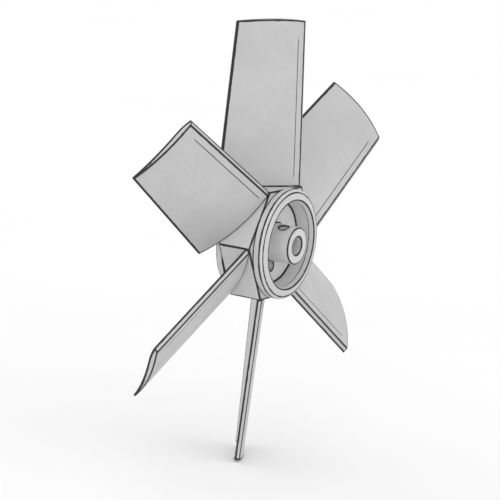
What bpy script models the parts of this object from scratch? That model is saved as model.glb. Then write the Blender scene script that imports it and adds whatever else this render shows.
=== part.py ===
# Six-bladed axial fan wheel with a hexagonal hub, built at its real size in metres.
#
# The fan's axis is Y and its front looks along -Y. Blade 1 points straight up.
# The origin is on the axis, in the hub's back face, where the shaft's shoulder seats.
# Every piece is modelled lying down, with its axis along local Z and its front up,
# and hangs on one empty that stands it upright.
import math

import bmesh
import bpy
from mathutils import Matrix, Vector

# Driving dimensions. A depth is measured back from the front rim's face.
BLADE_COUNT = 6
FAN_RADIUS = 0.2000
HUB_LENGTH = 0.0493
GAP = 0.0003

# Hub: a hexagonal body between two round rims, a little wider than its flats.
FLAT_RADIUS = 0.0493
HEX_BEVEL = 0.0005
HEX_BEVEL_STEPS = 2
HEX_FRONT_DEPTH = 0.0108
HEX_BACK_DEPTH = 0.0422
RIM_RADIUS = 0.0500
RIM_FACE_RADIUS = 0.0473
RIM_FACE_DROP = 0.0017
RIM_ROUND_DEPTH = 0.0044
BACK_RIM_ROUND = 0.0015
MOUTH_RADIUS = 0.0404
LIP_RADIUS = 0.0386
LIP_DEPTH = 0.0053
SPIGOT_RADIUS = 0.0430

# Web across the cup, with its one round hole.
WEB_DEPTH = 0.0174
WEB_THICKNESS = 0.0060
WEB_RADIUS = 0.0373
WEB_HOLE_RADIUS = 0.0043
WEB_HOLE_DISTANCE = 0.0221
WEB_HOLE_ANGLE = math.radians(187)

# Boss with its plain bore, and the set screw sunk in a radial hole.
BOSS_STAND = 0.0058
BOSS_END_RADIUS = 0.0168
BOSS_WEB_RADIUS = 0.0173
BOSS_ROUND = 0.0006
BORE_RADIUS = 0.0080
BORE_CHAMFER = 0.0004
SCREW_RADIUS = 0.0042
SCREW_LENGTH = 0.0060
SCREW_START = 0.0087
SCREW_DEPTH = 0.0063
SCREW_ANGLE = math.radians(-21)
SOCKET_RADIUS = 0.0022
SOCKET_SIDES = 6
SOCKET_DEPTH = 0.0030

# Blade section: the front corner of the nose and the tail's front corner, each as
# distance across the blade and distance along the axis from the front rim's face.
ROOT_NOSE = (0.0249, -0.0112)
ROOT_TAIL = (-0.0414, -0.0580)
TIP_NOSE = (0.0238, -0.0203)
TIP_TAIL = (-0.0341, -0.0568)
NOSE_FACE = (0.0048, -0.0024)
ROOT_CAMBER = 0.0060
TIP_CAMBER = 0.0044
MAX_THICKNESS = 0.0066
TAIL_THICKNESS = 0.0020
THICKNESS_POWER = 1.8
NOSE_RELIEF = 0.0020
NOSE_RELIEF_SPAN = 0.20
SECTION_POINTS = 15
SPAN_STATIONS = 5

ROUND_STEPS = 72
SMALL_STEPS = 32
CORNER_STEPS = 5
MERGE = 0.00001

GREY_CASTING = ("fan_casting", (0.56, 0.56, 0.56, 1.0), 0.60, 0.0)
PLAIN_STEEL = ("screw_steel", (0.50, 0.50, 0.51, 1.0), 0.40, 1.0)


def clear_scene():
    for item in list(bpy.data.objects):
        bpy.data.objects.remove(item, do_unlink=True)


def make_collection(name):
    collection = bpy.data.collections.new(name)
    bpy.context.scene.collection.children.link(collection)
    return collection


def make_material(name, color, roughness, metallic):
    material = bpy.data.materials.new(name)
    material.use_nodes = True
    shader = material.node_tree.nodes["Principled BSDF"]
    shader.inputs["Base Color"].default_value = color
    shader.inputs["Roughness"].default_value = roughness
    shader.inputs["Metallic"].default_value = metallic
    return material


def height(depth):
    """Local Z of a depth behind the front rim's face."""
    return HUB_LENGTH - depth


def direction(angle):
    """Unit vector at a clock angle from blade 1, seen from the front."""
    return Vector((math.sin(angle), math.cos(angle), 0.0))


def add_object(name, mesh, material):
    """Put a mesh on the upright empty, as one named piece."""
    item = bpy.data.objects.new(name, mesh)
    parts.objects.link(item)
    item.parent = upright
    mesh.materials.clear()
    mesh.materials.append(material)
    return item


def make_cutter(item):
    """Turn a piece into a hidden cutting or joining shape."""
    parts.objects.unlink(item)
    cutters.objects.link(item)
    item.hide_render = True
    item.display_type = "WIRE"
    return item


def boolean(item, other, operation="DIFFERENCE"):
    modifier = item.modifiers.new(other.name, "BOOLEAN")
    modifier.object = other
    modifier.operation = operation
    modifier.solver = "EXACT"


def smooth(item, degrees=35.0):
    item.data.shade_smooth()
    item.data.set_sharp_from_angle(angle=math.radians(degrees))


def rounded(start, corner, end):
    """Points of a rounded corner, from one tangent point to the other."""
    points = []
    for step in range(CORNER_STEPS + 1):
        share = step / CORNER_STEPS
        near = [a + (b - a) * share for a, b in zip(start, corner)]
        far = [a + (b - a) * share for a, b in zip(corner, end)]
        points.append(tuple(a + (b - a) * share for a, b in zip(near, far)))
    return points


def turned(name, profile, material, closed):
    """Turn a (radius, height) profile, which runs down its outer side, about local Z."""
    mesh = bpy.data.meshes.new(name)
    shape = bmesh.new()
    verts = [shape.verts.new((radius, 0.0, z)) for radius, z in profile]
    for first, second in zip(verts, verts[1:]):
        shape.edges.new((first, second))
    if closed:
        shape.edges.new((verts[-1], verts[0]))
    shape.to_mesh(mesh)
    shape.free()
    item = add_object(name, mesh, material)
    screw = item.modifiers.new("turn", "SCREW")
    screw.axis = "Z"
    screw.angle = 2.0 * math.pi
    screw.steps = ROUND_STEPS
    screw.render_steps = ROUND_STEPS
    screw.use_merge_vertices = True
    screw.merge_threshold = MERGE
    screw.use_smooth_shade = True
    return item


def rod(name, radius, length, start, along, material, sides=SMALL_STEPS):
    """Cylinder or prism that starts at a point and runs along a direction."""
    mesh = bpy.data.meshes.new(name)
    shape = bmesh.new()
    bmesh.ops.create_cone(
        shape, cap_ends=True, segments=sides,
        radius1=radius, radius2=radius, depth=length,
    )
    shape.to_mesh(mesh)
    shape.free()
    item = add_object(name, mesh, material)
    item.rotation_mode = "QUATERNION"
    item.rotation_quaternion = Vector((0.0, 0.0, 1.0)).rotation_difference(along)
    item.location = start + along * (length / 2.0)
    return item


def make_front_rim(material):
    """Round front rim, with a conical mouth, on the body's front spigot."""
    back = height(HEX_FRONT_DEPTH) + GAP
    face_slope = RIM_FACE_DROP / (RIM_FACE_RADIUS - MOUTH_RADIUS)
    profile = rounded(
        (RIM_FACE_RADIUS, height(RIM_FACE_DROP)),
        (RIM_RADIUS, height(face_slope * (RIM_RADIUS - MOUTH_RADIUS))),
        (RIM_RADIUS, height(RIM_ROUND_DEPTH)),
    )
    profile += [
        (RIM_RADIUS, back),
        (SPIGOT_RADIUS + GAP, back),
        (SPIGOT_RADIUS + GAP, height(LIP_DEPTH)),
        (LIP_RADIUS, height(LIP_DEPTH)),
        (MOUTH_RADIUS, height(0.0)),
    ]
    return turned("front_rim", profile, material, closed=True)


def make_back_rim(material):
    """Round back rim on the body's back spigot, its edge only slightly eased."""
    rounding = BACK_RIM_ROUND
    front = height(HEX_BACK_DEPTH) - GAP
    lip = LIP_DEPTH - GAP
    profile = [(RIM_RADIUS, front)]
    profile += rounded(
        (RIM_RADIUS, rounding), (RIM_RADIUS, 0.0), (RIM_RADIUS - rounding, 0.0),
    )
    profile += [
        (MOUTH_RADIUS, 0.0),
        (LIP_RADIUS, lip),
        (SPIGOT_RADIUS + GAP, lip),
        (SPIGOT_RADIUS + GAP, front),
    ]
    return turned("back_rim", profile, material, closed=True)


def make_hub_body(material):
    """Hexagonal ring whose six flats carry the blades."""
    mesh = bpy.data.meshes.new("hub_body")
    shape = bmesh.new()
    corner_radius = FLAT_RADIUS / math.cos(math.pi / BLADE_COUNT)
    bmesh.ops.create_cone(
        shape, cap_ends=True, segments=BLADE_COUNT,
        radius1=corner_radius, radius2=corner_radius,
        depth=HEX_BACK_DEPTH - HEX_FRONT_DEPTH,
    )
    # The primitive has a corner on local Y, where blade 1 needs a flat.
    bmesh.ops.rotate(
        shape, verts=shape.verts, cent=(0.0, 0.0, 0.0),
        matrix=Matrix.Rotation(math.pi / BLADE_COUNT, 3, "Z"),
    )
    bmesh.ops.translate(
        shape, verts=shape.verts,
        vec=(0.0, 0.0, height((HEX_BACK_DEPTH + HEX_FRONT_DEPTH) / 2.0)),
    )
    shape.to_mesh(mesh)
    shape.free()
    body = add_object("hub_body", mesh, material)
    bevel = body.modifiers.new("eased_corners", "BEVEL")
    bevel.width = HEX_BEVEL
    bevel.segments = HEX_BEVEL_STEPS
    bevel.limit_method = "ANGLE"

    spigot = turned(
        "spigots",
        [
            (0.0, height(LIP_DEPTH) - GAP),
            (SPIGOT_RADIUS, height(LIP_DEPTH) - GAP),
            (SPIGOT_RADIUS, LIP_DEPTH),
            (0.0, LIP_DEPTH),
        ],
        material, closed=False,
    )
    web_back = WEB_DEPTH + WEB_THICKNESS
    cavity = turned(
        "cup_cavity",
        [
            (0.0, height(0.0)),
            (taper(0.0), height(0.0)),
            (WEB_RADIUS, height(WEB_DEPTH)),
            (WEB_RADIUS, height(web_back)),
            (taper(0.0), 0.0),
            (0.0, 0.0),
        ],
        material, closed=False,
    )
    boolean(body, make_cutter(spigot), "UNION")
    boolean(body, make_cutter(cavity))
    smooth(body)
    return body


def taper(depth):
    """Cup wall radius at a depth, from the web's edge out through the lip's edge."""
    slope = (LIP_RADIUS - WEB_RADIUS) / (WEB_DEPTH - LIP_DEPTH)
    return WEB_RADIUS + slope * (WEB_DEPTH - depth)


def make_web(material):
    """Flat disc between the cup wall and the boss."""
    front = height(WEB_DEPTH)
    back = height(WEB_DEPTH + WEB_THICKNESS)
    outer = WEB_RADIUS - GAP
    inner = BOSS_WEB_RADIUS + GAP
    web = turned(
        "hub_web", [(outer, front), (outer, back), (inner, back), (inner, front)],
        material, closed=True,
    )
    hole = rod(
        "web_hole", WEB_HOLE_RADIUS, 3.0 * WEB_THICKNESS,
        direction(WEB_HOLE_ANGLE) * WEB_HOLE_DISTANCE + Vector((0.0, 0.0, back - WEB_THICKNESS)),
        Vector((0.0, 0.0, 1.0)), material,
    )
    boolean(web, make_cutter(hole))
    return web


def make_boss(material):
    """Boss, slightly tapered to both ends, with its bore and set screw hole."""
    top = height(-BOSS_STAND)
    rounding = BOSS_ROUND
    profile = [(BORE_RADIUS, top - BORE_CHAMFER), (BORE_RADIUS + BORE_CHAMFER, top)]
    profile += rounded(
        (BOSS_END_RADIUS - rounding, top), (BOSS_END_RADIUS, top),
        (BOSS_END_RADIUS, top - rounding),
    )
    profile += [
        (BOSS_WEB_RADIUS, height(WEB_DEPTH)),
        (BOSS_WEB_RADIUS, height(WEB_DEPTH + WEB_THICKNESS)),
        (BOSS_END_RADIUS, BORE_CHAMFER),
        (BOSS_END_RADIUS - BORE_CHAMFER, 0.0),
        (BORE_RADIUS + BORE_CHAMFER, 0.0),
        (BORE_RADIUS, BORE_CHAMFER),
    ]
    boss = turned("shaft_boss", profile, material, closed=True)
    hole = rod(
        "screw_hole", SCREW_RADIUS + GAP, BOSS_WEB_RADIUS,
        screw_point(BORE_RADIUS / 2.0), direction(SCREW_ANGLE), material,
    )
    boolean(boss, make_cutter(hole))
    return boss


def screw_point(distance):
    """Point on the set screw's axis at a distance from the fan's axis."""
    return direction(SCREW_ANGLE) * distance + Vector((0.0, 0.0, height(SCREW_DEPTH)))


def make_set_screw(material):
    """Headless screw with a hexagonal socket, sunk below the boss's side."""
    along = direction(SCREW_ANGLE)
    screw = rod("set_screw", SCREW_RADIUS, SCREW_LENGTH, screw_point(SCREW_START), along, material)
    end = SCREW_START + SCREW_LENGTH
    socket = rod(
        "screw_socket", SOCKET_RADIUS, 2.0 * SOCKET_DEPTH,
        screw_point(end - SOCKET_DEPTH), along, material, sides=SOCKET_SIDES,
    )
    boolean(screw, make_cutter(socket))
    smooth(screw)
    return screw


def section(nose, tail, camber):
    """Front and rear outlines of a blade section, each from the nose to the tail."""
    nose = Vector(nose)
    tail = Vector(tail)
    chord = tail - nose
    normal = Vector((chord.y, -chord.x)).normalized()
    nose_rear = nose + Vector(NOSE_FACE)
    start = (nose_rear - nose).dot(chord) / chord.length_squared

    front = []
    rear = [nose_rear]
    for index in range(SECTION_POINTS):
        share = index / (SECTION_POINTS - 1)
        front.append(nose + chord * share + normal * bulge(share, camber))
        if index:
            place = start + (1.0 - start) * share
            rise = bulge(place, camber) - thickness(place)
            rear.append(nose + chord * place + normal * rise)
    return front, rear


def bulge(share, camber):
    """Height of the cambered front surface above its chord."""
    return 4.0 * camber * share * (1.0 - share)


def thickness(share):
    """Blade thickness along the chord: fullest behind the nose, thin at the tail."""
    thinned = (MAX_THICKNESS - TAIL_THICKNESS) * max(share, 0.0) ** THICKNESS_POWER
    relief = NOSE_RELIEF * max(0.0, 1.0 - share / NOSE_RELIEF_SPAN) ** 2
    return MAX_THICKNESS - thinned - relief


def tip_share(root, tip):
    """Share of the span at which a straight line reaches the fan's outer circle."""
    root_radius = FLAT_RADIUS + GAP
    run = FAN_RADIUS - root_radius
    across = tip.x - root.x
    a = across ** 2 + run ** 2
    b = 2.0 * (root.x * across + root_radius * run)
    c = root.x ** 2 + root_radius ** 2 - FAN_RADIUS ** 2
    return (-b + math.sqrt(b * b - 4.0 * a * c)) / (2.0 * a)


def make_blade_mesh():
    """Loft from the root section on its flat to the tip, cut on the fan's circle."""
    root_front, root_rear = section(ROOT_NOSE, ROOT_TAIL, ROOT_CAMBER)
    tip_front, tip_rear = section(TIP_NOSE, TIP_TAIL, TIP_CAMBER)
    root_ring = root_front + root_rear[::-1]
    tip_ring = tip_front + tip_rear[::-1]

    shape = bmesh.new()
    rings = []
    for station in range(SPAN_STATIONS):
        ring = []
        for root, tip in zip(root_ring, tip_ring):
            share = tip_share(root, tip) * station / (SPAN_STATIONS - 1)
            point = root.lerp(tip, share)
            radius = FLAT_RADIUS + GAP + (FAN_RADIUS - FLAT_RADIUS - GAP) * share
            ring.append(shape.verts.new((point.x, radius, HUB_LENGTH + point.y)))
        rings.append(ring)

    count = len(root_ring)
    for lower, upper in zip(rings, rings[1:]):
        for index in range(count):
            after = (index + 1) % count
            shape.faces.new((lower[index], lower[after], upper[after], upper[index]))
    for ring in (rings[0], rings[-1]):
        for index in range(SECTION_POINTS - 1):
            shape.faces.new(
                (ring[index], ring[index + 1], ring[count - 2 - index], ring[count - 1 - index])
            )
    bmesh.ops.recalc_face_normals(shape, faces=shape.faces)
    mesh = bpy.data.meshes.new("blade")
    shape.to_mesh(mesh)
    shape.free()
    return mesh


def make_blades(material):
    """Six like blades, numbered anticlockwise from the top, seen from the front."""
    mesh = make_blade_mesh()
    for number in range(BLADE_COUNT):
        blade = add_object(f"blade_{number + 1}", mesh, material)
        blade.rotation_euler = (0.0, 0.0, 2.0 * math.pi * number / BLADE_COUNT)
        smooth(blade)


clear_scene()
parts = make_collection("fan_wheel")
cutters = make_collection("cutters")
upright = bpy.data.objects.new("upright", None)
parts.objects.link(upright)
upright.rotation_euler = (math.pi / 2.0, 0.0, 0.0)

casting = make_material(*GREY_CASTING)
steel = make_material(*PLAIN_STEEL)
make_front_rim(casting)
make_hub_body(casting)
make_back_rim(casting)
make_web(casting)
make_boss(casting)
make_set_screw(steel)
make_blades(casting)
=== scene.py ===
import math

import bmesh
import bpy
from mathutils import Matrix, Vector


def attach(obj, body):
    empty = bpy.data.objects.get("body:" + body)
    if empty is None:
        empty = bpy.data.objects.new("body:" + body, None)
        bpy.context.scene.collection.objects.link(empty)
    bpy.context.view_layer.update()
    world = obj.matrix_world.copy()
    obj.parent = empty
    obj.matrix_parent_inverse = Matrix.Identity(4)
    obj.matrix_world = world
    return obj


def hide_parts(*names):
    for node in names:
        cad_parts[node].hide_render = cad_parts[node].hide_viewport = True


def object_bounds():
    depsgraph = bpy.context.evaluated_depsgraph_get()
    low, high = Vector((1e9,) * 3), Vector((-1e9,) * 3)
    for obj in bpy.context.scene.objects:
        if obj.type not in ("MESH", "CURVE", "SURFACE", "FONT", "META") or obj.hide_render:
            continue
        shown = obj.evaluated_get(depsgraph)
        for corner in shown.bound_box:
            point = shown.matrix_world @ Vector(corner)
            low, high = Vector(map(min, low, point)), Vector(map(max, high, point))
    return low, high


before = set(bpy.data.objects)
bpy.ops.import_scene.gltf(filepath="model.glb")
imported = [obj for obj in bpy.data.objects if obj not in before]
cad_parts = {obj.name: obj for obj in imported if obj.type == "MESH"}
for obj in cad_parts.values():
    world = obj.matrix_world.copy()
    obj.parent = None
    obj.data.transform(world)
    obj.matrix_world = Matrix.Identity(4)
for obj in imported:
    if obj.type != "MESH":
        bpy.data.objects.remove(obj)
cad_low, cad_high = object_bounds()

MM = 0.001

# The CAD model's driving dimensions, in metres.
BLADE_COUNT = 6
FAN_RADIUS = 0.2000
HUB_LENGTH = 0.0493
FLAT_RADIUS = 0.0493
HEX_FRONT_DEPTH = 0.0108
HEX_BACK_DEPTH = 0.0422
RIM_RADIUS = 0.0500
RIM_FACE_RADIUS = 0.0473
RIM_FACE_DROP = 0.0017
RIM_ROUND_DEPTH = 0.0044
BACK_RIM_ROUND = 0.0015
MOUTH_RADIUS = 0.0404
LIP_RADIUS = 0.0386
LIP_DEPTH = 0.0053
SPIGOT_RADIUS = 0.0430
WEB_DEPTH = 0.0174
WEB_THICKNESS = 0.0060
WEB_RADIUS = 0.0373
WEB_HOLE_RADIUS = 0.0043
WEB_HOLE_DISTANCE = 0.0221
WEB_HOLE_ANGLE = math.radians(187)
BOSS_STAND = 0.0058
BOSS_END_RADIUS = 0.0168
BOSS_WEB_RADIUS = 0.0173
BOSS_ROUND = 0.0006
BORE_RADIUS = 0.0080
BORE_CHAMFER = 0.0004
SCREW_RADIUS = 0.0042
SCREW_LENGTH = 0.0060
SCREW_START = 0.0087
SCREW_DEPTH = 0.0063
SCREW_ANGLE = math.radians(-21)
SOCKET_RADIUS = 0.0022
SOCKET_DEPTH = 0.0030
ROOT_NOSE = (0.0249, -0.0112)
ROOT_TAIL = (-0.0414, -0.0580)
TIP_NOSE = (0.0238, -0.0203)
TIP_TAIL = (-0.0341, -0.0568)
NOSE_FACE = (0.0048, -0.0024)
ROOT_CAMBER = 0.0060
TIP_CAMBER = 0.0044
MAX_THICKNESS = 0.0066
TAIL_THICKNESS = 0.0020
THICKNESS_POWER = 1.8
NOSE_RELIEF = 0.0020
NOSE_RELIEF_SPAN = 0.20

# Finer detail than the CAD model has.
JOINT_GAP = 0.0001
BLADE_EDGE_ROUND = 0.0005
HEX_ROUND = 0.0007
CORNER_ROUND = 0.0004
CREASE_DISTANCE = 0.0074
CREASE_HALF_WIDTH = 0.0006
CREASE_DROP = 0.0004
CREASE_START = 0.035
CREASE_END = 0.905
CREASE_FADE = 0.030
CREASE_REACH = 0.0036
CAP_SHARES = (0.12, 0.25, 0.5, 0.75, 0.88)
SPAN_ROWS = 34
SECTION_COLUMNS = 30
TURN_STEPS = 216
CORNER_STEPS = 5
EDGE_ATTRIBUTE = "edge_mm"
FAR_FROM_EDGE = 6.0
FULL_LINE = 0.0
THIN_LINE = 0.35
FRONT_THIN = 0.60
NOSE_THIN = 1.60
REAR_THIN = 0.15
ROOT_THIN = 0.90
HUB_LINE = 1.05
BLADE_LINE = 2.15


def height(depth):
    """Lying Z of a depth behind the front rim's face."""
    return HUB_LENGTH - depth


def direction(angle):
    """Lying unit vector at a clock angle from blade 1, seen from the front."""
    return Vector((math.sin(angle), math.cos(angle), 0.0))


def stand_up(point):
    """Lying point in the row frame."""
    return Vector((point[0], -point[2], point[1]))


def blend_points(start, corner, end, steps=CORNER_STEPS):
    """Points of a rounded corner, from one tangent point to the other."""
    points = []
    for step in range(steps + 1):
        share = step / steps
        near = Vector(start).lerp(Vector(corner), share)
        far = Vector(corner).lerp(Vector(end), share)
        points.append(near.lerp(far, share))
    return points


def make_piece(name, points, faces, distances, material, node, sharp=40.0):
    """Mesh piece from lying points, with each point's distance from the nearest edge."""
    mesh = bpy.data.meshes.new(name)
    mesh.from_pydata([stand_up(point) for point in points], [], faces)
    mesh.update()
    attribute = mesh.attributes.new(EDGE_ATTRIBUTE, "FLOAT", "POINT")
    attribute.data.foreach_set(
        "value", [min(distance / MM, FAR_FROM_EDGE) for distance in distances]
    )
    shape = bmesh.new()
    shape.from_mesh(mesh)
    bmesh.ops.remove_doubles(shape, verts=shape.verts, dist=0.000002)
    bmesh.ops.recalc_face_normals(shape, faces=shape.faces)
    shape.to_mesh(mesh)
    shape.free()
    mesh.shade_smooth()
    mesh.set_sharp_from_angle(angle=math.radians(sharp))
    mesh.materials.append(material)
    piece = bpy.data.objects.new(name, mesh)
    bpy.context.scene.collection.objects.link(piece)
    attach(piece, "root")
    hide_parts(node)
    return piece


# Turned pieces


def profile_points(corners):
    """Closed profile from (radius, z, round, mark) corners.

    A mark is None, or the millimetres by which the worn line at that corner is thinner.
    Returns (radius, z, distance to the nearest marked corner, index of its side).
    """
    count = len(corners)
    places = [Vector((corner[0], corner[1])) for corner in corners]
    marked = [(places[i], corners[i][3] * MM) for i in range(count) if corners[i][3] is not None]
    points = []
    for i in range(count):
        before, here, after = places[i - 1], places[i], places[(i + 1) % count]
        ease = corners[i][2]
        start = here + (before - here).normalized() * ease
        end = here + (after - here).normalized() * ease
        points += [(p, i) for p in blend_points(start, here, end)]
        next_ease = corners[(i + 1) % count][2]
        stop = after + (here - after).normalized() * next_ease
        length = (stop - end).length
        for along in side_stops(length):
            points.append((end.lerp(stop, along / length), i))
    result = []
    for point, side in points:
        near = min([(point - mark).length + thin for mark, thin in marked] + [FAR_FROM_EDGE * MM])
        result.append((point.x, point.y, near, side))
    return result


def side_stops(length):
    """Distances along a straight side, closer together near its ends."""
    near = [stop * MM for stop in (0.35, 0.8, 1.4, 2.2, 3.4) if stop * MM < length * 0.45]
    middle = []
    if near and length > 2.0 * near[-1] + 3.0 * MM:
        inner = length - 2.0 * near[-1]
        pieces = max(2, int(inner / (3.0 * MM)))
        middle = [near[-1] + inner * i / pieces for i in range(1, pieces)]
    return near + middle + [length - stop for stop in reversed(near)]


def round_angles():
    return [2.0 * math.pi * i / TURN_STEPS for i in range(TURN_STEPS)]


def hexagon_angles():
    """Clock angles with extra ones beside the six corners."""
    corner_radius = FLAT_RADIUS / math.cos(math.pi / BLADE_COUNT)
    angles = []
    for side in range(BLADE_COUNT):
        middle = 2.0 * math.pi * side / BLADE_COUNT
        half = math.pi / BLADE_COUNT
        near = [stop * MM / corner_radius for stop in (0.0, 0.15, 0.3, 0.5, 0.8, 1.3, 2.0, 3.2)]
        inner = half - near[-1]
        angles += [middle - half + stop for stop in near]
        angles += [middle - inner + 2.0 * inner * i / 30 for i in range(1, 30)]
        angles += [middle + half - stop for stop in reversed(near[1:])]
    return angles


def hexagon_radius(angle):
    """Radius of the hexagon with eased corners, and the distance to the nearest corner."""
    sector = 2.0 * math.pi / BLADE_COUNT
    off = (angle + sector / 2.0) % sector - sector / 2.0
    flat = FLAT_RADIUS / math.cos(off)
    from_corner = sector / 2.0 - abs(off)
    centre = (FLAT_RADIUS - HEX_ROUND) / math.cos(sector / 2.0)
    reach = HEX_ROUND ** 2 - (centre * math.sin(from_corner)) ** 2
    radius = flat
    if reach > 0.0:
        radius = min(flat, centre * math.cos(from_corner) + math.sqrt(reach))
    return radius, flat * math.sin(from_corner)


def turn(corners, hexagon_sides=()):
    """Points, faces and edge distances of a closed profile turned about the axis.

    When hexagon_sides is given, every point outside the spigot follows the hexagon instead of a
    circle: its reach beyond the spigot is given as a share of the hexagon's.
    """
    profile = profile_points(corners)
    angles = hexagon_angles() if hexagon_sides else round_angles()
    points, distances, faces = [], [], []
    for angle in angles:
        hexagon, from_corner = hexagon_radius(angle)
        stretch = hexagon / FLAT_RADIUS
        for radius, z, near, side in profile:
            if hexagon_sides and radius > SPIGOT_RADIUS + 0.0001:
                share = (radius - SPIGOT_RADIUS) / (FLAT_RADIUS - SPIGOT_RADIUS)
                radius = SPIGOT_RADIUS + (hexagon - SPIGOT_RADIUS) * share
                if share > 0.999:
                    near = min(near, from_corner)
            points.append(direction(angle) * radius + Vector((0.0, 0.0, z)))
            distances.append(near)
    rows, count = len(angles), len(profile)
    for row in range(rows):
        following = (row + 1) % rows
        for i in range(count):
            after = (i + 1) % count
            faces.append(
                (row * count + i, row * count + after,
                 following * count + after, following * count + i)
            )
    return points, faces, distances


def make_front_rim(material):
    slope = RIM_FACE_DROP / (RIM_FACE_RADIUS - MOUTH_RADIUS)
    crown = (RIM_RADIUS, height(slope * (RIM_RADIUS - MOUTH_RADIUS)))
    shoulder = blend_points(
        (RIM_FACE_RADIUS, height(RIM_FACE_DROP)), crown,
        (RIM_RADIUS, height(RIM_ROUND_DEPTH)), 8,
    )
    last = len(shoulder) - 1
    marks = {0: THIN_LINE, last: 0.2}
    corners = [(p.x, p.y, 0.00005, marks.get(i)) for i, p in enumerate(shoulder)]
    corners += [
        (RIM_RADIUS, height(HEX_FRONT_DEPTH) + JOINT_GAP, CORNER_ROUND, FULL_LINE),
        (SPIGOT_RADIUS + JOINT_GAP, height(HEX_FRONT_DEPTH) + JOINT_GAP, CORNER_ROUND, None),
        (SPIGOT_RADIUS + JOINT_GAP, height(LIP_DEPTH), CORNER_ROUND, None),
        (LIP_RADIUS, height(LIP_DEPTH), CORNER_ROUND, THIN_LINE),
        (MOUTH_RADIUS, height(0.0), CORNER_ROUND, FULL_LINE),
    ]
    points, faces, distances = turn(corners)
    return make_piece(
        "front_rim_casting", points, faces, distances, material, "front_rim"
    )


def make_back_rim(material):
    corners = [
        (RIM_RADIUS, height(HEX_BACK_DEPTH) - JOINT_GAP, CORNER_ROUND, FULL_LINE),
        (RIM_RADIUS, 0.0, BACK_RIM_ROUND, FULL_LINE),
        (MOUTH_RADIUS, 0.0, CORNER_ROUND, FULL_LINE),
        (LIP_RADIUS, LIP_DEPTH, CORNER_ROUND, FULL_LINE),
        (SPIGOT_RADIUS + JOINT_GAP, LIP_DEPTH, CORNER_ROUND, None),
        (SPIGOT_RADIUS + JOINT_GAP, height(HEX_BACK_DEPTH) - JOINT_GAP, CORNER_ROUND, None),
    ]
    points, faces, distances = turn(corners)
    return make_piece(
        "back_rim_casting", points, faces, distances, material, "back_rim"
    )


def cup_radius(depth):
    """Cup wall radius at a depth, from the web's edge out through the lip's edge."""
    slope = (LIP_RADIUS - WEB_RADIUS) / (WEB_DEPTH - LIP_DEPTH)
    return WEB_RADIUS + slope * (WEB_DEPTH - depth)


def make_hub_body(material):
    web_back = WEB_DEPTH + WEB_THICKNESS
    lip = LIP_DEPTH + JOINT_GAP
    corners = [
        (FLAT_RADIUS, height(HEX_FRONT_DEPTH), CORNER_ROUND, FULL_LINE),
        (FLAT_RADIUS, height(HEX_BACK_DEPTH), CORNER_ROUND, FULL_LINE),
        (SPIGOT_RADIUS, height(HEX_BACK_DEPTH), 0.0001, None),
        (SPIGOT_RADIUS, lip, CORNER_ROUND, None),
        (cup_radius(lip), lip, 0.0001, None),
        (WEB_RADIUS, height(web_back), 0.0001, FULL_LINE),
        (WEB_RADIUS, height(WEB_DEPTH), 0.0001, FULL_LINE),
        (cup_radius(lip), height(lip), 0.0001, None),
        (SPIGOT_RADIUS, height(lip), CORNER_ROUND, None),
        (SPIGOT_RADIUS, height(HEX_FRONT_DEPTH), 0.0001, None),
    ]
    points, faces, distances = turn(corners, hexagon_sides=(0, 1))
    return make_piece(
        "hexagon_casting", points, faces, distances, material, "hub_body"
    )


def cut(piece, radius, start, along, length, flare):
    """Cut a round hole with an eased mouth, and apply it."""
    profile = [
        (radius, -length / 2.0), (radius, length / 2.0 - flare),
        (radius + flare, length / 2.0), (radius + flare, length),
        (0.0, length), (0.0, -length / 2.0),
    ]
    steps = 64
    shape = bmesh.new()
    turn_to = Vector((0.0, 0.0, 1.0)).rotation_difference(along).to_matrix()
    rings = []
    for step in range(steps):
        angle = 2.0 * math.pi * step / steps
        rings.append([
            shape.verts.new(stand_up(start + turn_to @ Vector(
                (r * math.cos(angle), r * math.sin(angle), z)
            )))
            for r, z in profile[:4]
        ])
    for step in range(steps):
        here, there = rings[step], rings[(step + 1) % steps]
        for i in range(3):
            shape.faces.new((here[i], here[i + 1], there[i + 1], there[i]))
    shape.faces.new([ring[0] for ring in rings])
    shape.faces.new([ring[3] for ring in rings])
    bmesh.ops.recalc_face_normals(shape, faces=shape.faces)
    mesh = bpy.data.meshes.new("cutter")
    shape.to_mesh(mesh)
    shape.free()
    cutter = bpy.data.objects.new("cutter", mesh)
    bpy.context.scene.collection.objects.link(cutter)
    modifier = piece.modifiers.new("hole", "BOOLEAN")
    modifier.object = cutter
    modifier.solver = "EXACT"
    bpy.context.view_layer.update()
    evaluated = piece.evaluated_get(bpy.context.evaluated_depsgraph_get())
    result = bpy.data.meshes.new_from_object(evaluated)
    piece.modifiers.clear()
    old = piece.data
    piece.data = result
    bpy.data.meshes.remove(old)
    bpy.data.objects.remove(cutter)
    axis, root = stand_up(along), stand_up(start)
    values = piece.data.attributes[EDGE_ATTRIBUTE].data
    for vertex, value in zip(piece.data.vertices, values):
        off = vertex.co - root
        rise = off.dot(axis)
        if rise > -length / 2.0 and (off - axis * rise).length < radius + flare + 0.02 * MM:
            value.value = FAR_FROM_EDGE
    piece.data.shade_smooth()
    piece.data.set_sharp_from_angle(angle=math.radians(40.0))


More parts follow.
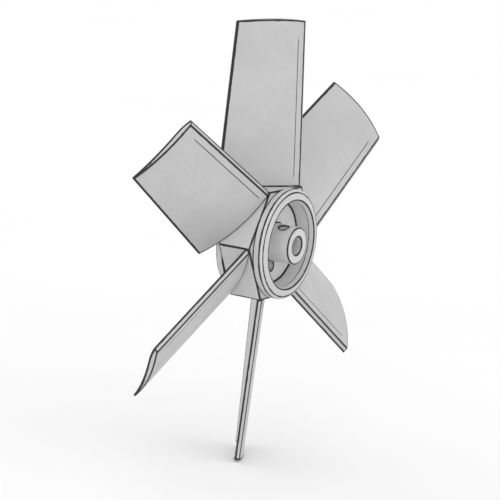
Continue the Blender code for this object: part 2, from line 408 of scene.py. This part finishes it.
def make_web(material):
    front, back = height(WEB_DEPTH), height(WEB_DEPTH + WEB_THICKNESS)
    outer, inner = WEB_RADIUS - JOINT_GAP, BOSS_WEB_RADIUS + JOINT_GAP
    corners = [
        (outer, front, 0.0002, FULL_LINE), (outer, back, 0.0002, FULL_LINE),
        (inner, back, 0.0002, FULL_LINE), (inner, front, 0.0002, FULL_LINE),
    ]
    points, faces, distances = turn(corners)
    web = make_piece(
        "web_casting", points, faces, distances, material, "hub_web"
    )
    centre = direction(WEB_HOLE_ANGLE) * WEB_HOLE_DISTANCE
    middle = Vector((centre.x, centre.y, (front + back) / 2.0))
    cut(web, WEB_HOLE_RADIUS, middle, Vector((0.0, 0.0, 1.0)), 1.05 * WEB_THICKNESS, 0.0004)
    return web


def screw_point(distance):
    """Lying point on the set screw's axis at a distance from the fan's axis."""
    return direction(SCREW_ANGLE) * distance + Vector((0.0, 0.0, height(SCREW_DEPTH)))


def make_boss(material):
    top = height(-BOSS_STAND)
    corners = [
        (BORE_RADIUS, top - BORE_CHAMFER, 0.0001, None),
        (BORE_RADIUS + BORE_CHAMFER, top, 0.0002, FULL_LINE),
        (BOSS_END_RADIUS, top, BOSS_ROUND, FULL_LINE),
        (BOSS_WEB_RADIUS, height(WEB_DEPTH), 0.0003, None),
        (BOSS_WEB_RADIUS, height(WEB_DEPTH + WEB_THICKNESS), 0.0003, None),
        (BOSS_END_RADIUS, BORE_CHAMFER, 0.0002, None),
        (BOSS_END_RADIUS - BORE_CHAMFER, 0.0, 0.0002, FULL_LINE),
        (BORE_RADIUS + BORE_CHAMFER, 0.0, 0.0002, FULL_LINE),
        (BORE_RADIUS, BORE_CHAMFER, 0.0001, None),
    ]
    points, faces, distances = turn(corners)
    boss = make_piece(
        "boss_casting", points, faces, distances, material, "shaft_boss"
    )
    along = direction(SCREW_ANGLE)
    reach = BOSS_WEB_RADIUS - BORE_RADIUS / 2.0
    cut(boss, SCREW_RADIUS + JOINT_GAP, screw_point(BOSS_WEB_RADIUS - reach / 2.0 - 0.0001),
        along, reach, 0.0003)
    return boss


def make_set_screw(material):
    """Headless screw with a hexagonal socket and a chamfered outer end."""
    along = direction(SCREW_ANGLE)
    turn_to = Vector((0.0, 0.0, 1.0)).rotation_difference(along).to_matrix()
    start = screw_point(SCREW_START)
    end = SCREW_LENGTH
    edge = 0.0004
    steps = 72
    points, distances, faces = [], [], []

    def ring(radius_at, z):
        base = len(points)
        for step in range(steps):
            angle = 2.0 * math.pi * step / steps
            radius = radius_at(angle)
            points.append(start + turn_to @ Vector(
                (radius * math.cos(angle), radius * math.sin(angle), z)
            ))
            distances.append(FAR_FROM_EDGE * MM)
        return base

    def circle(radius):
        return lambda angle: radius

    def socket(angle):
        sector = math.pi / 3.0
        off = (angle + sector / 2.0) % sector - sector / 2.0
        return SOCKET_RADIUS * math.cos(sector / 2.0) / math.cos(off)

    rings = [
        ring(circle(0.0), 0.0), ring(circle(SCREW_RADIUS - edge), 0.0),
        ring(circle(SCREW_RADIUS), edge), ring(circle(SCREW_RADIUS), end - edge),
        ring(circle(SCREW_RADIUS - edge), end),
        ring(lambda angle: socket(angle) + 0.0002, end),
        ring(socket, end - 0.0002), ring(socket, end - SOCKET_DEPTH),
        ring(circle(0.0), end - SOCKET_DEPTH - 0.0006),
    ]
    for lower, upper in zip(rings, rings[1:]):
        for step in range(steps):
            after = (step + 1) % steps
            faces.append((lower + step, lower + after, upper + after, upper + step))
    return make_piece(
        "socket_screw", points, faces, distances, material, "set_screw", 25.0
    )


# Blades


def bulge(share, camber):
    return 4.0 * camber * share * (1.0 - share)


def thickness(share):
    thinned = (MAX_THICKNESS - TAIL_THICKNESS) * max(share, 0.0) ** THICKNESS_POWER
    relief = NOSE_RELIEF * max(0.0, 1.0 - share / NOSE_RELIEF_SPAN) ** 2
    return MAX_THICKNESS - thinned - relief


def sides(nose, tail, camber):
    """Dense front and rear outlines of a section, from the nose to the tail."""
    nose, tail = Vector(nose), Vector(tail)
    chord = tail - nose
    normal = Vector((chord.y, -chord.x)).normalized()
    nose_rear = nose + Vector(NOSE_FACE)
    start = (nose_rear - nose).dot(chord) / chord.length_squared
    dense = 200
    front, rear = [], [nose_rear]
    for index in range(dense + 1):
        share = index / dense
        front.append(nose + chord * share + normal * bulge(share, camber))
        if index:
            place = start + (1.0 - start) * share
            rise = bulge(place, camber) - thickness(place)
            rear.append(nose + chord * place + normal * rise)
    return front, rear


def along_line(line, lengths, distance):
    """Point of a polyline at a distance along it."""
    for i in range(1, len(line)):
        if lengths[i] >= distance:
            share = (distance - lengths[i - 1]) / (lengths[i] - lengths[i - 1])
            return line[i - 1].lerp(line[i], share)
    return line[-1].copy()


def resample(line, with_crease):
    """Points along an outline: (point, distance to its nearer end, crease share)."""
    lengths = [0.0]
    for a, b in zip(line, line[1:]):
        lengths.append(lengths[-1] + (b - a).length)
    total = lengths[-1]
    near = [stop * MM for stop in (0.5, 0.8, 1.2, 1.7, 2.4, 3.4, 4.8)]
    crease = [
        CREASE_DISTANCE + CREASE_HALF_WIDTH * side for side in (-2.0, -1.0, -0.5, 0.0, 0.5, 1.0, 2.0)
    ]
    first, last = crease[-1] + 0.002, total - near[-1] - 0.001
    middle = [first + (last - first) * i / SECTION_COLUMNS for i in range(SECTION_COLUMNS + 1)]
    stops = near + crease + middle + [total - stop for stop in reversed(near)]
    result = []
    for stop in stops:
        share, from_nose = 0.0, stop
        if with_crease:
            share = max(0.0, 1.0 - abs(stop - CREASE_DISTANCE) / CREASE_HALF_WIDTH)
            from_nose = stop + FRONT_THIN * MM
        result.append((along_line(line, lengths, stop), min(from_nose, total - stop), share))
    return result


def half_loop(side, before, after, with_crease, thin):
    """Half of a section: half the nose face, a corner, one side, a corner, half the tail.

    before and after are the far ends of the nose face and of the tail face, and thin
    narrows the worn line on the nose face.
    """
    samples = resample(side, with_crease)
    first, last = side[0], side[-1]
    nose_middle, tail_middle = (first + before) / 2.0, (last + after) / 2.0
    nose_half = (nose_middle - first).length
    tail_half = (tail_middle - last).length
    half = [(nose_middle, nose_half, 0.0)]
    for distance in (1.8 * MM, 1.2 * MM, 0.8 * MM):
        half.append((first.lerp(nose_middle, distance / nose_half), distance + thin, 0.0))
    towards = first + (before - first).normalized() * BLADE_EDGE_ROUND
    for point in blend_points(towards, first, samples[0][0], 4)[:-1]:
        half.append((point, 0.0, 0.0))
    half += samples
    towards = last + (after - last).normalized() * BLADE_EDGE_ROUND
    for point in blend_points(samples[-1][0], last, towards, 4)[1:]:
        half.append((point, 0.0, 0.0))
    half.append((tail_middle, tail_half, 0.0))
    return half


def section_loop(nose, tail, camber):
    """Closed loop round a section, with the number of points in its front half."""
    front, rear = sides(nose, tail, camber)
    upper = half_loop(front, rear[0], rear[-1], True, NOSE_THIN * MM)
    lower = half_loop(rear, front[0], front[-1], False, REAR_THIN * MM)
    return upper + lower[-2:0:-1], len(upper)


def inward(loop):
    """Inward unit normals of a closed loop."""
    count = len(loop)
    area = sum(
        loop[i][0].x * loop[(i + 1) % count][0].y - loop[(i + 1) % count][0].x * loop[i][0].y
        for i in range(count)
    )
    sign = 1.0 if area > 0.0 else -1.0
    normals = []
    for i in range(count):
        step = loop[(i + 1) % count][0] - loop[i - 1][0]
        normals.append(Vector((-step.y, step.x)).normalized() * sign)
    return normals


def outer_share(root, tip, base):
    """Share of the span at which a straight line reaches the fan's outer circle."""
    run = FAN_RADIUS - base
    across = tip.x - root.x
    a = across ** 2 + run ** 2
    b = 2.0 * (root.x * across + base * run)
    c = root.x ** 2 + base ** 2 - FAN_RADIUS ** 2
    return (-b + math.sqrt(b * b - 4.0 * a * c)) / (2.0 * a)


def span_rows():
    """(share of the span, distance to the root, distance to the tip, inset) rows."""
    span = FAN_RADIUS - FLAT_RADIUS
    near = [stop * MM for stop in (0.0, 0.4, 0.8, 1.3, 2.0, 3.2)]
    rows = [(stop / span, stop, span - stop, 0.0) for stop in near]
    inner = span - 2.0 * near[-1]
    for i in range(1, SPAN_ROWS):
        stop = near[-1] + inner * i / SPAN_ROWS
        rows.append((stop / span, stop, span - stop, 0.0))
    for stop in reversed(near[1:]):
        rows.append((1.0 - stop / span, span - stop, stop, 0.0))
    rows.append((1.0 - 0.1 * MM / span, span, 0.0, 0.12 * MM))
    rows.append((1.0, span, 0.0, 0.4 * MM))
    return rows


def crease_depth(share):
    """How deep the crease is at a share of the span: full, and faded out at its ends."""
    rise = min((share - CREASE_START), (CREASE_END - share)) / CREASE_FADE
    return max(0.0, min(1.0, rise))


def cap_blade_end(points, distances, faces, ring, front_count, flip):
    """Close a blade's end with strips between its front and rear, and rows in between."""
    columns = []
    for i in range(front_count):
        front, rear = ring[i], ring[-i]
        if i in (0, front_count - 1):
            columns.append([front])
            continue
        gap = (points[rear] - points[front]).length
        column = [front]
        for share in CAP_SHARES:
            column.append(len(points))
            points.append(points[front].lerp(points[rear], share))
            distances.append(min(
                share * gap + NOSE_THIN * MM, (1.0 - share) * gap + REAR_THIN * MM
            ))
        columns.append(column + [rear])
    for left, right in zip(columns, columns[1:]):
        for k in range(len(CAP_SHARES) + 1):
            corners = [
                left[min(k, len(left) - 1)], left[min(k + 1, len(left) - 1)],
                right[min(k + 1, len(right) - 1)], right[min(k, len(right) - 1)],
            ]
            face = tuple(dict.fromkeys(corners))
            if len(face) > 2:
                faces.append(face[::-1] if flip else face)


def blade_shape():
    """Lying points of the top blade, its faces and edge distances."""
    root_loop, front_count = section_loop(ROOT_NOSE, ROOT_TAIL, ROOT_CAMBER)
    tip_loop, _ = section_loop(TIP_NOSE, TIP_TAIL, TIP_CAMBER)
    root_in, tip_in = inward(root_loop), inward(tip_loop)
    base = FLAT_RADIUS + JOINT_GAP / 2.0
    count = len(root_loop)
    rows = span_rows()
    points, distances, faces = [], [], []
    for share, from_root, from_tip, inset in rows:
        deep = crease_depth(share)
        for i in range(count):
            (root, near, groove), (tip, _, _) = root_loop[i], tip_loop[i]
            reach = outer_share(root, tip, base) * share
            normal = root_in[i].lerp(tip_in[i], share)
            drop = inset + groove * deep * CREASE_DROP
            point = root.lerp(tip, reach) + normal * drop
            radius = base + (FAN_RADIUS - base) * reach
            points.append(Vector((point.x, radius, HUB_LENGTH + point.y)))
            if groove * deep > 0.0:
                near = min(near, (1.0 - groove * deep) * CREASE_REACH)
            if i < front_count:
                from_tip_line = from_tip + FRONT_THIN * MM
            else:
                from_tip_line = from_tip
            distances.append(min(near, from_root + ROOT_THIN * MM, from_tip_line))
    for row in range(len(rows) - 1):
        for i in range(count):
            after = (i + 1) % count
            low, high = row * count, (row + 1) * count
            faces.append((low + i, low + after, high + after, high + i))
    cap_blade_end(points, distances, faces, range(count), front_count, True)
    tip_ring = range((len(rows) - 1) * count, len(rows) * count)
    cap_blade_end(points, distances, faces, tip_ring, front_count, False)
    return points, faces, distances


def make_blades(material):
    points, faces, distances = blade_shape()
    blades = []
    for number in range(BLADE_COUNT):
        rotation = Matrix.Rotation(2.0 * math.pi * number / BLADE_COUNT, 3, "Z")
        blades.append(make_piece(
            f"blade_{number + 1}_casting", [rotation @ point for point in points], faces,
            distances, material, f"blade_{number + 1}", 50.0,
        ))
    return blades


# Materials


class Nodes:
    """Short calls for building a material's node tree."""

    def __init__(self, name):
        self.material = bpy.data.materials.new(name)
        self.material.use_nodes = True
        self.tree = self.material.node_tree
        self.shader = self.tree.nodes["Principled BSDF"]

    def put(self, kind, inputs=(), **settings):
        node = self.tree.nodes.new(kind)
        for key, value in settings.items():
            setattr(node, key, value)
        for key, value in dict(inputs).items():
            self.set(node.inputs[key], value)
        return node

    def set(self, socket, value):
        if isinstance(value, bpy.types.NodeSocket):
            self.tree.links.new(value, socket)
        else:
            socket.default_value = value

    def place(self):
        return self.put("ShaderNodeTexCoord").outputs["Object"]

    def noise(self, vector, scale, detail=4.0, rough=0.55):
        return self.put(
            "ShaderNodeTexNoise",
            {"Vector": vector, "Scale": scale, "Detail": detail, "Roughness": rough},
        ).outputs["Fac"]

    def length(self, vector):
        node = self.put("ShaderNodeVectorMath", {0: vector}, operation="LENGTH")
        return node.outputs["Value"]

    def math(self, operation, *values):
        node = self.put("ShaderNodeMath", operation=operation)
        for socket, value in zip(node.inputs, values):
            self.set(socket, value)
        return node.outputs[0]

    def ramp(self, value, low, high, out_low=0.0, out_high=1.0, smooth=True):
        node = self.put(
            "ShaderNodeMapRange",
            {"Value": value, "From Min": low, "From Max": high,
             "To Min": out_low, "To Max": out_high},
        )
        node.interpolation_type = "SMOOTHSTEP" if smooth else "LINEAR"
        return node.outputs["Result"]

    def mix(self, share, first, second):
        node = self.put("ShaderNodeMix", data_type="RGBA")
        self.set(node.inputs["Factor"], share)
        self.set(node.inputs[6], first)
        self.set(node.inputs[7], second)
        return node.outputs[2]


def grey(value, tint=0.0):
    return (value * (1.0 - tint), value, value * (1.0 + tint), 1.0)


def painted_casting(name, line, painted_light_scale, hole=None, turned=0.0):
    """Light grey paint on a casting, worn through to dark metal along its edges, with painted shade
    darkening its creases and recesses.

    line is the worn line's width in mm, and the paint's scale factor is painted light and shade:
    raised on pieces that sit in shade, lowered on brightly lit ones. A hole is (point on its axis,
    direction, radius, function that gives the distance to the surface in which it opens).
    """
    n = Nodes(name)
    place = n.place()
    broad = n.noise(place, 16.0, 3.0, 0.5)
    mottle = n.noise(place, 150.0, 5.0, 0.6)
    grain = n.noise(place, 1100.0, 3.0, 0.6)
    pits = n.put(
        "ShaderNodeTexVoronoi", {"Vector": place, "Scale": 420.0, "Randomness": 1.0}
    ).outputs["Distance"]

    edge = n.put("ShaderNodeAttribute", attribute_name=EDGE_ATTRIBUTE).outputs["Fac"]
    if hole:
        centre, along, radius, from_surface = hole
        off = n.put("ShaderNodeVectorMath", {0: place, 1: centre}, operation="SUBTRACT")
        cross = n.put(
            "ShaderNodeVectorMath", {0: off.outputs[0], 1: along}, operation="CROSS_PRODUCT"
        )
        ring = n.math("SUBTRACT", n.length(cross.outputs[0]), radius)
        surface = from_surface(n, place)
        square = n.math("ADD", n.math("MULTIPLY", ring, ring), n.math("MULTIPLY", surface, surface))
        ring = n.math("MULTIPLY", n.math("SQRT", square), 1.0 / MM)
        edge = n.math("MINIMUM", edge, ring)
    ragged = n.ramp(mottle, 0.30, 0.70, -0.28, 0.28, smooth=False)
    worn = n.ramp(n.math("ADD", edge, ragged), line - 0.25, line + 0.25, 1.0, 0.0)

    # Painted shade: the paint darkens towards grey wherever the ambient occlusion node finds
    # surfaces close by, in creases, recesses and between parts.
    occlusion = n.put(
        "ShaderNodeAmbientOcclusion", {"Distance": 0.002}, samples=8
    ).outputs["AO"]
    painted_crevice_shade = n.ramp(occlusion, 0.30, 0.80, 0.30, 0.0)

    paint = n.mix(
        n.ramp(broad, 0.3, 0.7), grey(0.535 * painted_light_scale), grey(0.595 * painted_light_scale)
    )
    paint = n.mix(n.ramp(mottle, 0.35, 0.75, 0.0, 0.35), paint, grey(0.50 * painted_light_scale))
    paint = n.mix(n.ramp(pits, 0.0, 0.16, 0.30, 0.0), paint, grey(0.36))
    paint = n.mix(painted_crevice_shade, paint, grey(0.16))
    bare = n.mix(grain, grey(0.006), grey(0.024))
    n.set(n.shader.inputs["Base Color"], n.mix(worn, paint, bare))

    painted_rough = n.ramp(mottle, 0.3, 0.7, 0.42, 0.56)
    n.set(n.shader.inputs["Roughness"], n.math("ADD", painted_rough, n.math("MULTIPLY", worn, 0.10)))
    n.shader.inputs["Metallic"].default_value = 0.0
    n.shader.inputs["Specular IOR Level"].default_value = 0.40

    relief = n.math("ADD", n.math("MULTIPLY", grain, 0.5), n.math("MULTIPLY", mottle, 0.9))
    relief = n.math("SUBTRACT", relief, n.ramp(pits, 0.0, 0.16, 0.35, 0.0))
    relief = n.math("SUBTRACT", relief, n.math("MULTIPLY", worn, 0.4))
    if turned:
        rings = n.put(
            "ShaderNodeTexWave",
            {"Vector": place, "Scale": turned, "Distortion": 0.4, "Detail": 1.0},
            wave_type="RINGS", rings_direction="Y",
        ).outputs["Fac"]
        relief = n.math("ADD", relief, n.math("MULTIPLY", rings, 0.35))
    bump = n.put(
        "ShaderNodeBump", {"Height": relief, "Strength": 0.35, "Distance": 0.00025}
    )
    n.set(n.shader.inputs["Normal"], bump.outputs["Normal"])
    return n.material


def plain_steel(name):
    """Dull plain steel with fine marks."""
    n = Nodes(name)
    place = n.place()
    mottle = n.noise(place, 900.0, 4.0, 0.6)
    n.set(n.shader.inputs["Base Color"], n.mix(mottle, grey(0.62), grey(0.72)))
    n.set(n.shader.inputs["Roughness"], n.ramp(mottle, 0.3, 0.7, 0.34, 0.52))
    n.shader.inputs["Metallic"].default_value = 0.2
    bump = n.put("ShaderNodeBump", {"Height": mottle, "Strength": 0.3, "Distance": 0.0001})
    n.set(n.shader.inputs["Normal"], bump.outputs["Normal"])
    return n.material


def pale_floor(name):
    n = Nodes(name)
    place = n.place()
    soft = n.noise(place, 3.0, 4.0, 0.5)
    n.set(n.shader.inputs["Base Color"], n.mix(soft, grey(0.90), grey(0.93)))
    n.shader.inputs["Roughness"].default_value = 0.9
    n.shader.inputs["Specular IOR Level"].default_value = 0.1
    return n.material


# Camera, floor and lights

CAMERA_RIGHT = Vector((0.5096, -0.8560, 0.0881))
CAMERA_BACK = Vector((-0.8536, -0.4900, 0.1768))
PIXEL = 0.00089566
DISTANCE = 4391.2 * PIXEL
IMAGE_PIXELS = 500
AXIS_PIXEL = (291.66, 245.06)


def make_camera():
    """Camera that puts the axis, at the front rim, on its pixel of the photograph."""
    back = CAMERA_BACK.normalized()
    right = (CAMERA_RIGHT - back * CAMERA_RIGHT.dot(back)).normalized()
    up = back.cross(right)
    data = bpy.data.cameras.new("camera")
    data.sensor_width = 36.0
    data.lens = data.sensor_width * DISTANCE / (IMAGE_PIXELS * PIXEL)
    camera = bpy.data.objects.new("camera", data)
    bpy.context.scene.collection.objects.link(camera)
    across = (AXIS_PIXEL[0] - IMAGE_PIXELS / 2.0) * PIXEL
    above = (IMAGE_PIXELS / 2.0 - AXIS_PIXEL[1]) * PIXEL
    camera.location = (
        Vector((0.0, -HUB_LENGTH, 0.0)) + back * DISTANCE - right * across - up * above
    )
    camera.rotation_mode = "QUATERNION"
    camera.rotation_quaternion = Matrix((right, up, back)).transposed().to_quaternion()
    bpy.context.scene.camera = camera
    return camera, right, up, back


def make_floor():
    size = 30.0
    shape = bmesh.new()
    bmesh.ops.create_grid(shape, x_segments=8, y_segments=8, size=size)
    mesh = bpy.data.meshes.new("floor")
    shape.to_mesh(mesh)
    shape.free()
    mesh.materials.append(pale_floor("pale_floor"))
    floor = bpy.data.objects.new("floor", mesh)
    floor.location.z = cad_low.z - 0.0005
    bpy.context.scene.collection.objects.link(floor)


def add_light(name, location, size, watts):
    data = bpy.data.lights.new(name, "AREA")
    data.shape = "DISK"
    data.size = size
    data.energy = watts
    lamp = bpy.data.objects.new(name, data)
    lamp.location = location
    lamp.rotation_mode = "QUATERNION"
    lamp.rotation_quaternion = (Vector(location) * -1.0).to_track_quat("-Z", "Y")
    bpy.context.scene.collection.objects.link(lamp)


def add_sun(name, towards, strength, softness):
    data = bpy.data.lights.new(name, "SUN")
    data.energy = strength
    data.angle = math.radians(softness)
    lamp = bpy.data.objects.new(name, data)
    lamp.rotation_mode = "QUATERNION"
    lamp.rotation_quaternion = Vector(towards).to_track_quat("Z", "Y")
    bpy.context.scene.collection.objects.link(lamp)


def make_world():
    world = bpy.data.worlds.new("studio")
    world.use_nodes = True
    background = world.node_tree.nodes["Background"]
    background.inputs["Color"].default_value = (1.0, 1.0, 1.0, 1.0)
    background.inputs["Strength"].default_value = 1.04
    bpy.context.scene.world = world


def from_web_faces(n, place):
    """Distance of a place from the web's nearer face."""
    middle = height(WEB_DEPTH + WEB_THICKNESS / 2.0)
    along = n.put("ShaderNodeSeparateXYZ", {"Vector": place}).outputs["Y"]
    off = n.math("ABSOLUTE", n.math("ADD", along, middle))
    return n.math("SUBTRACT", off, WEB_THICKNESS / 2.0)


def from_boss_side(n, place):
    """Distance of a place from the boss's round side."""
    flat = n.put("ShaderNodeVectorMath", {0: place, 1: (1.0, 0.0, 1.0)}, operation="MULTIPLY")
    return n.math("SUBTRACT", n.length(flat.outputs[0]), BOSS_END_RADIUS + 0.2 * MM)


screw_axis = stand_up(direction(SCREW_ANGLE))
web_hole = stand_up(direction(WEB_HOLE_ANGLE) * WEB_HOLE_DISTANCE)
# Painted light and shade: each piece's paint is scaled apart, lifted on the web and boss that sit in
# the shaded cup and lowered on the brightly lit blades. Every piece also carries the painted crevice
# shade.
hub_paint_and_shading = painted_casting("painted_hub", HUB_LINE, 1.02)
blade_paint_and_shading = painted_casting("painted_blade", BLADE_LINE, 0.90)
rim_paint_and_shading = painted_casting("painted_rim", HUB_LINE, 1.02, turned=700.0)
web_paint_and_shading = painted_casting(
    "painted_web", HUB_LINE, 1.15,
    (web_hole, (0.0, 1.0, 0.0), WEB_HOLE_RADIUS, from_web_faces),
)
boss_paint_and_shading = painted_casting(
    "painted_boss", HUB_LINE, 1.07,
    (stand_up(screw_point(0.0)), screw_axis, SCREW_RADIUS + 0.2 * MM, from_boss_side), 700.0,
)

make_front_rim(rim_paint_and_shading)
make_back_rim(rim_paint_and_shading)
make_hub_body(hub_paint_and_shading)
make_web(web_paint_and_shading)
make_boss(boss_paint_and_shading)
make_set_screw(plain_steel("plain_steel"))
make_blades(blade_paint_and_shading)

make_camera()
make_floor()
make_world()
add_sun("side_light", (-1.0, -0.25, 0.35), 0.38, 50.0)
add_sun("front_light", (-0.25, -1.0, 0.45), 0.10, 50.0)
bpy.context.scene.view_settings.view_transform = "Standard"
bpy.context.scene.view_settings.look = "None"
